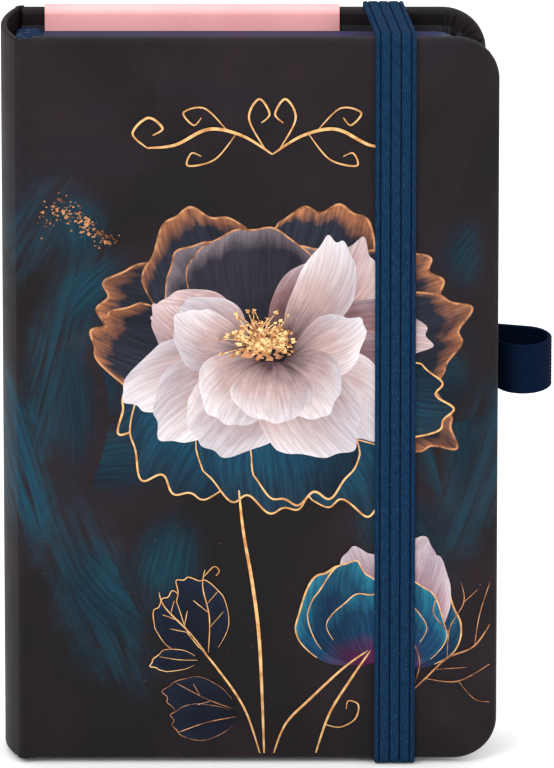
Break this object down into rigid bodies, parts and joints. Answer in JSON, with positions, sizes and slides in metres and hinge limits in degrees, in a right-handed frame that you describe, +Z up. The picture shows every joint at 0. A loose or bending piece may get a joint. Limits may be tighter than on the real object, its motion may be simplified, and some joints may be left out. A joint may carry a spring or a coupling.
{
  "type": "pocket notebook",
  "caption": "Hard-cover pocket notebook with a rounded spine, sewn leaves, a wide elastic closure, a pen loop and a loose card over the back cover.",
  "frame": {"origin": "centre of the bounding box at its lowest face, which is the underside of the elastic below the covers' tail", "axes": "+Z up to the head of the standing notebook, front cover towards -Y, spine at -X and pen loop at +X"},
  "size_m": [0.0998, 0.0206, 0.142],
  "materials": {
    "cover_board": "plain grey-brown binder's board",
    "cover_skin": "soft-touch matt near-black cover material with a printed floral front",
    "endpaper": "smooth uncoated navy-black endpaper",
    "page_paper": "smooth ivory paper with violet-blue painted edges",
    "lining_cloth": "open woven spine lining",
    "band_cloth": "navy and white woven end band",
    "elastic_cloth": "ribbed woven navy elastic",
    "loop_cloth": "finely ribbed dark navy elastic tape",
    "card_stock": "smooth pale pink card"
  },
  "bodies": {
    "back_cover": {"back_board": "cover_board", "back_wrap": "cover_skin", "back_pastedown": "endpaper", "back_flyleaf": "endpaper", "signature_07": "page_paper", "signature_08": "page_paper", "signature_09": "page_paper", "signature_10": "page_paper", "signature_11": "page_paper", "signature_12": "page_paper", "spine_lining": "lining_cloth", "head_band": "band_cloth", "tail_band": "band_cloth", "elastic_tail_upper": "elastic_cloth", "elastic_tail_lower": "elastic_cloth", "pen_loop": "loop_cloth"},
    "spine": {"spine_wrap": "cover_skin", "spine_stiffener": "cover_board"},
    "front_cover": {"front_board": "cover_board", "front_wrap": "cover_skin", "front_pastedown": "endpaper"},
    "elastic": {"elastic_band": "elastic_cloth"},
    "card": {"info_card": "card_stock"},
    "turned_front_flyleaf": {"front_flyleaf": "endpaper"},
    "turned_signature_01": {"signature_01": "page_paper"},
    "turned_signature_02": {"signature_02": "page_paper"},
    "turned_signature_03": {"signature_03": "page_paper"},
    "turned_signature_04": {"signature_04": "page_paper"},
    "turned_signature_05": {"signature_05": "page_paper"},
    "turned_signature_06": {"signature_06": "page_paper"}
  },
  "joints": [
    {"name": "spine_hinge", "type": "hinge", "parent": "back_cover", "child": "spine", "pos_m": [-0.04675, 0.0091, 0.071], "axis": [0, 0, -1], "range_deg": [0, 90], "deforming": ["spine_lining", "head_band", "tail_band"]},
    {"name": "cover_hinge", "type": "hinge", "parent": "spine", "child": "front_cover", "pos_m": [-0.04675, -0.0091, 0.071], "axis": [0, 0, -1], "range_deg": [0, 90]},
    {"name": "front_flyleaf_turn", "type": "hinge", "parent": "back_cover", "child": "turned_front_flyleaf", "pos_m": [-0.04585, -0.00022, 0.071], "axis": [0, 0, -1], "range_deg": [0, 180]},
    {"name": "signature_01_turn", "type": "hinge", "parent": "back_cover", "child": "turned_signature_01", "pos_m": [-0.04585, -0.00022, 0.071], "axis": [0, 0, -1], "range_deg": [0, 180]},
    {"name": "signature_02_turn", "type": "hinge", "parent": "back_cover", "child": "turned_signature_02", "pos_m": [-0.04585, -0.00022, 0.071], "axis": [0, 0, -1], "range_deg": [0, 180]},
    {"name": "signature_03_turn", "type": "hinge", "parent": "back_cover", "child": "turned_signature_03", "pos_m": [-0.04585, -0.00022, 0.071], "axis": [0, 0, -1], "range_deg": [0, 180]},
    {"name": "signature_04_turn", "type": "hinge", "parent": "back_cover", "child": "turned_signature_04", "pos_m": [-0.04585, -0.00022, 0.071], "axis": [0, 0, -1], "range_deg": [0, 180]},
    {"name": "signature_05_turn", "type": "hinge", "parent": "back_cover", "child": "turned_signature_05", "pos_m": [-0.04585, -0.00022, 0.071], "axis": [0, 0, -1], "range_deg": [0, 180]},
    {"name": "signature_06_turn", "type": "hinge", "parent": "back_cover", "child": "turned_signature_06", "pos_m": [-0.04585, -0.00022, 0.071], "axis": [0, 0, -1], "range_deg": [0, 180]},
    {"name": "elastic_release", "type": "hinge", "parent": "back_cover", "child": "elastic", "pos_m": [0.01915, 0.0098, 0.071], "axis": [0, 0, 1], "range_deg": [0, 180], "deforming": ["elastic_band"]},
    {"name": "card_lift", "type": "slide", "parent": "back_cover", "child": "card", "axis": [0, 0, 1], "range_m": [0, 0.065]}
  ],
  "couplings": [
    {"joint": "cover_hinge", "follows": "spine_hinge", "ratio": 1},
    {"joint": "front_flyleaf_turn", "follows": "spine_hinge", "ratio": 2},
    {"joint": "signature_01_turn", "follows": "spine_hinge", "ratio": 1.989},
    {"joint": "signature_02_turn", "follows": "spine_hinge", "ratio": 1.978},
    {"joint": "signature_03_turn", "follows": "spine_hinge", "ratio": 1.967},
    {"joint": "signature_04_turn", "follows": "spine_hinge", "ratio": 1.956},
    {"joint": "signature_05_turn", "follows": "spine_hinge", "ratio": 1.945},
    {"joint": "signature_06_turn", "follows": "spine_hinge", "ratio": 1.934},
    {"joint": "elastic_release", "follows": "spine_hinge", "ratio": 2}
  ]
}
